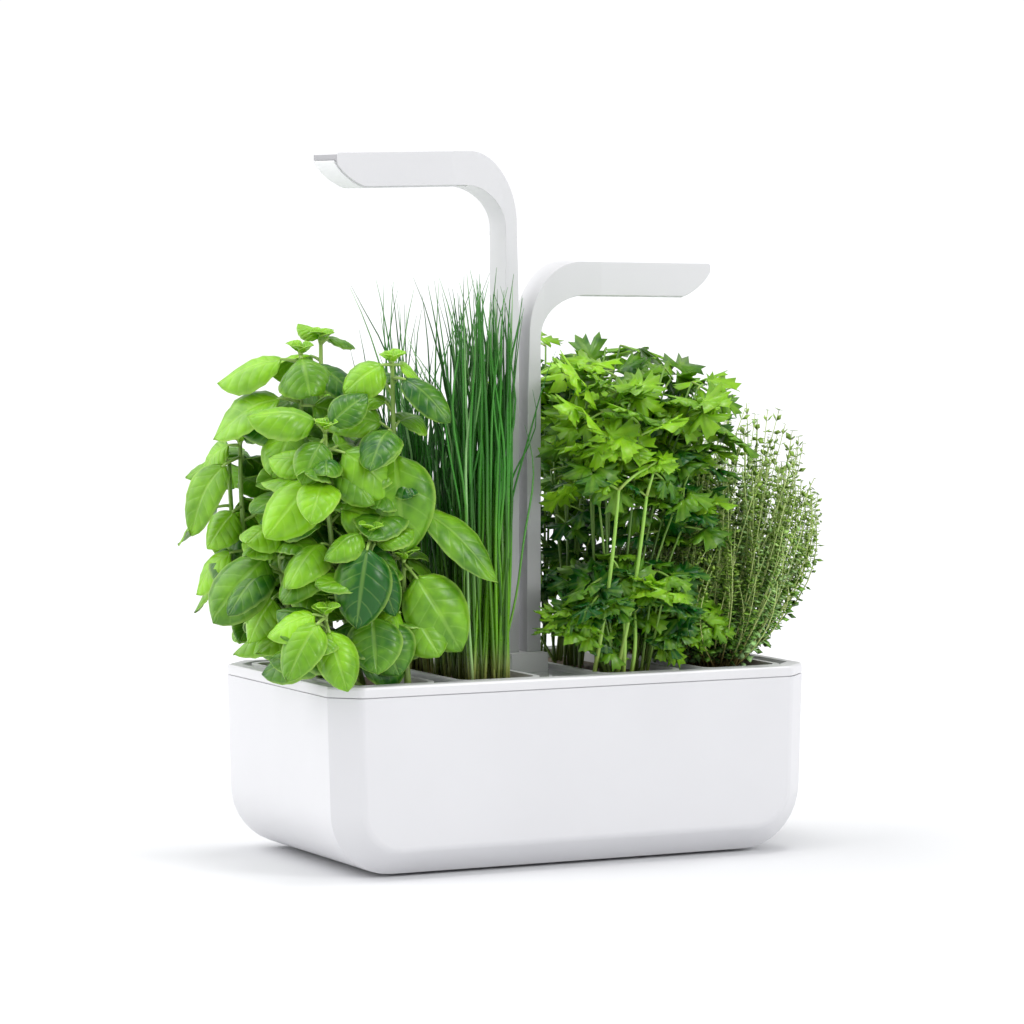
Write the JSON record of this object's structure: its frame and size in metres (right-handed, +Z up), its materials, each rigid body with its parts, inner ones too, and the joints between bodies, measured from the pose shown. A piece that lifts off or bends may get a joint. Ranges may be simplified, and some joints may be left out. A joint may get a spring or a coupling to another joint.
{
  "type": "countertop hydroponic garden",
  "caption": "White countertop herb garden: a chamfered water tub with a drop-in lid, hanging pod baskets with growing herbs, and grow lamps on sliding arms.",
  "frame": {"origin": "centre of the plane that the rubber feet stand on, under the middle foot", "axes": "+X to the right along the tub's length, -Y towards the front face, +Z up along the lamp columns"},
  "size_m": [0.4209, 0.1966, 0.4413],
  "materials": {
    "casing_white": "satin white moulded plastic, faintly cool",
    "tank_clear": "plain translucent-white moulded tank",
    "lid_white": "glossy white moulded plastic",
    "foot_rubber": "soft dark rubber",
    "cup_white": "glossy white moulded basket",
    "soil": "fibrous dark growing medium",
    "wick_felt": "undyed felt",
    "basil_green": "glossy cupped leaves on green stems",
    "chives_green": "waxy round blades",
    "parsley_green": "lobed leaves on light green stems",
    "thyme_green": "tiny grey-green leaves on thin stems",
    "mast_white": "glossy white moulded block",
    "guide_grey": "low-friction grey plastic",
    "screw_steel": "plain steel",
    "lamp_white": "satin white moulded shell",
    "diffuser_milk": "milky diffuser",
    "led_board": "white board with small diodes",
    "circuit_board": "green circuit board",
    "socket_black": "black moulded socket",
    "lead_black": "flat black leads",
    "stem_grey": "plain moulded rod",
    "button_white": "glossy push button",
    "float_orange": "closed-cell foam float"
  },
  "bodies": {
    "root": {"casing": "casing_white", "water_tank": "tank_clear", "lid_deck": "lid_white", "rubber_feet": "foot_rubber", "basil_cup": "cup_white", "chives_cup": "cup_white", "parsley_cup": "cup_white", "thyme_cup": "cup_white", "basil_soil": "soil", "chives_soil": "soil", "parsley_soil": "soil", "thyme_soil": "soil", "basil_wick": "wick_felt", "chives_wick": "wick_felt", "parsley_wick": "wick_felt", "thyme_wick": "wick_felt", "basil_plant": "basil_green", "chives_plant": "chives_green", "parsley_plant": "parsley_green", "thyme_plant": "thyme_green", "mast_base": "mast_white", "mast_guide": "guide_grey", "mast_screws": "screw_steel", "timer_board": "circuit_board", "board_screws": "screw_steel", "dc_inlet": "socket_black", "lamp_leads": "lead_black", "flap_pin": "screw_steel", "float_stem": "stem_grey"},
    "left_lamp": {"left_arm": "lamp_white", "left_light_cover": "diffuser_milk", "left_led_board": "led_board", "left_glide": "guide_grey"},
    "right_lamp": {"right_arm": "lamp_white", "right_light_cover": "diffuser_milk", "right_led_board": "led_board", "right_glide": "guide_grey"},
    "button": {"power_button": "button_white"},
    "flap": {"filler_flap": "lid_white"},
    "float": {"level_float": "float_orange"}
  },
  "joints": [
    {"name": "left_lamp_slide", "type": "slide", "parent": "root", "child": "left_lamp", "axis": [0, 0, 1], "range_m": [-0.096, 0]},
    {"name": "right_lamp_slide", "type": "slide", "parent": "root", "child": "right_lamp", "axis": [0, 0, 1], "range_m": [-0.027, 0.069]},
    {"name": "power_button_press", "type": "slide", "parent": "root", "child": "button", "axis": [0, -1, 0], "range_m": [0, 0.0012], "stiffness_N_per_m": 400},
    {"name": "filler_flap_hinge", "type": "hinge", "parent": "root", "child": "flap", "pos_m": [0, 0.064, 0.1122], "axis": [-1, 0, 0], "range_deg": [0, 95]},
    {"name": "level_float_rise", "type": "slide", "parent": "root", "child": "float", "axis": [0, 0, 1], "range_m": [0, 0.06]}
  ]
}
